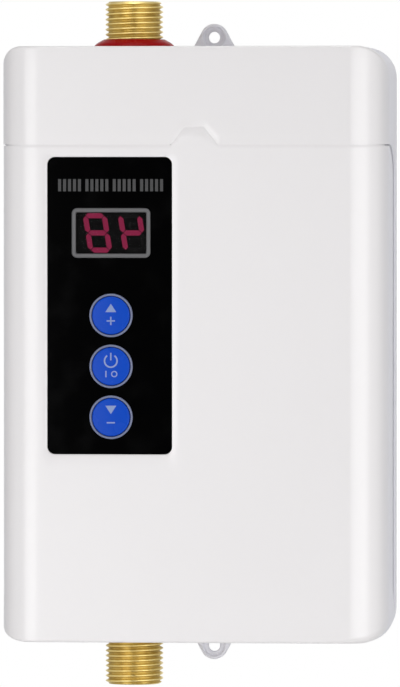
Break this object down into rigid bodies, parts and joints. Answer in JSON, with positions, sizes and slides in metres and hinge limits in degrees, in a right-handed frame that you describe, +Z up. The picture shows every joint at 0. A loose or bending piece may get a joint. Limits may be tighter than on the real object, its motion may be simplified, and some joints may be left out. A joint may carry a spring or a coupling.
{
  "type": "tankless electric water heater",
  "caption": "Flat wall-mounted instant water heater with a moulded casing, black control panel with display and round push buttons, and threaded brass water fittings at top and bottom.",
  "frame": {"origin": "on the wall plane, at the middle of the casing's back face", "axes": "+X to the right seen from the front, +Y into the wall, +Z up; the front looks towards -Y"},
  "size_m": [0.14, 0.0548, 0.248],
  "materials": {
    "shell_plastic": "fine moulded texture",
    "cover_plastic": "satin moulded",
    "screw_steel": "zinc plated",
    "overlay_black": "polished",
    "bezel_grey": "printed grey",
    "window_smoke": "smoked clear",
    "rim_silver": "satin plated",
    "button_blue": "polished",
    "black_plastic": "moulded",
    "segment_red": "lit",
    "segment_dark": "unlit",
    "board_green": "solder mask",
    "cream_plastic": "moulded",
    "ribbon_grey": "flat cable",
    "fitting_brass": "turned",
    "ring_red": "moulded",
    "seal_rubber": "moulded",
    "rotor_blue": "moulded",
    "magnet_dark": "sintered",
    "tube_steel": "drawn",
    "relay_blue": "moulded",
    "core_dark": "laminated",
    "capacitor_sleeve": "shrink sleeve",
    "socket_green": "moulded",
    "lead_brown": "insulation",
    "lead_white": "insulation",
    "lead_green": "insulation"
  },
  "bodies": {
    "heater": {"rear_shell": "shell_plastic", "front_cover": "cover_plastic", "cover_screws": "screw_steel", "board_screws": "screw_steel", "strap_screws": "screw_steel", "power_board_screws": "screw_steel", "clamp_screws": "screw_steel", "terminal_screws": "screw_steel", "rotor_shaft": "screw_steel", "control_overlay": "overlay_black", "display_bezel": "bezel_grey", "display_window": "window_smoke", "button_rims": "rim_silver", "display_module": "black_plastic", "tact_switches": "black_plastic", "control_chip": "black_plastic", "triac": "black_plastic", "flow_sensor_body": "black_plastic", "thermal_cutout": "black_plastic", "lit_segments": "segment_red", "dark_segments": "segment_dark", "control_board": "board_green", "power_board": "board_green", "hall_sensor": "board_green", "ribbon_sockets": "cream_plastic", "terminal_block": "cream_plastic", "rotor_carriers": "cream_plastic", "cable_clamp": "cream_plastic", "board_ribbon": "ribbon_grey", "inlet_fitting": "fitting_brass", "outlet_fitting": "fitting_brass", "element_bushes": "fitting_brass", "temperature_probe": "fitting_brass", "earth_screw": "fitting_brass", "outlet_ring": "ring_red", "sealing_rings": "seal_rubber", "cable_grommet": "seal_rubber", "heating_tube": "tube_steel", "lower_tube_cap": "tube_steel", "upper_tube_cap": "tube_steel", "heating_element": "tube_steel", "element_tabs": "tube_steel", "tube_straps": "tube_steel", "power_relay": "relay_blue", "transformer": "core_dark", "filter_capacitor": "capacitor_sleeve", "lead_sockets": "socket_green", "supply_leads": "lead_brown", "heater_leads": "lead_white", "earth_lead": "lead_green"},
    "up_button": {"up_button": "button_blue", "up_plunger": "black_plastic"},
    "power_button": {"power_button": "button_blue", "power_plunger": "black_plastic"},
    "down_button": {"down_button": "button_blue", "down_plunger": "black_plastic"},
    "rotor": {"flow_rotor": "rotor_blue", "rotor_magnet": "magnet_dark"}
  },
  "joints": [
    {"name": "up_press", "type": "slide", "parent": "heater", "child": "up_button", "axis": [0, 1, 0], "range_m": [0, 0.0005], "stiffness_N_per_m": 800, "springref_m": -0.001},
    {"name": "power_press", "type": "slide", "parent": "heater", "child": "power_button", "axis": [0, 1, 0], "range_m": [0, 0.0005], "stiffness_N_per_m": 800, "springref_m": -0.001},
    {"name": "down_press", "type": "slide", "parent": "heater", "child": "down_button", "axis": [0, 1, 0], "range_m": [0, 0.0005], "stiffness_N_per_m": 800, "springref_m": -0.001},
    {"name": "rotor_spin", "type": "hinge", "parent": "heater", "child": "rotor", "pos_m": [-0.024, -0.024, -0.0816], "axis": [0, 0, 1], "continuous": true}
  ]
}
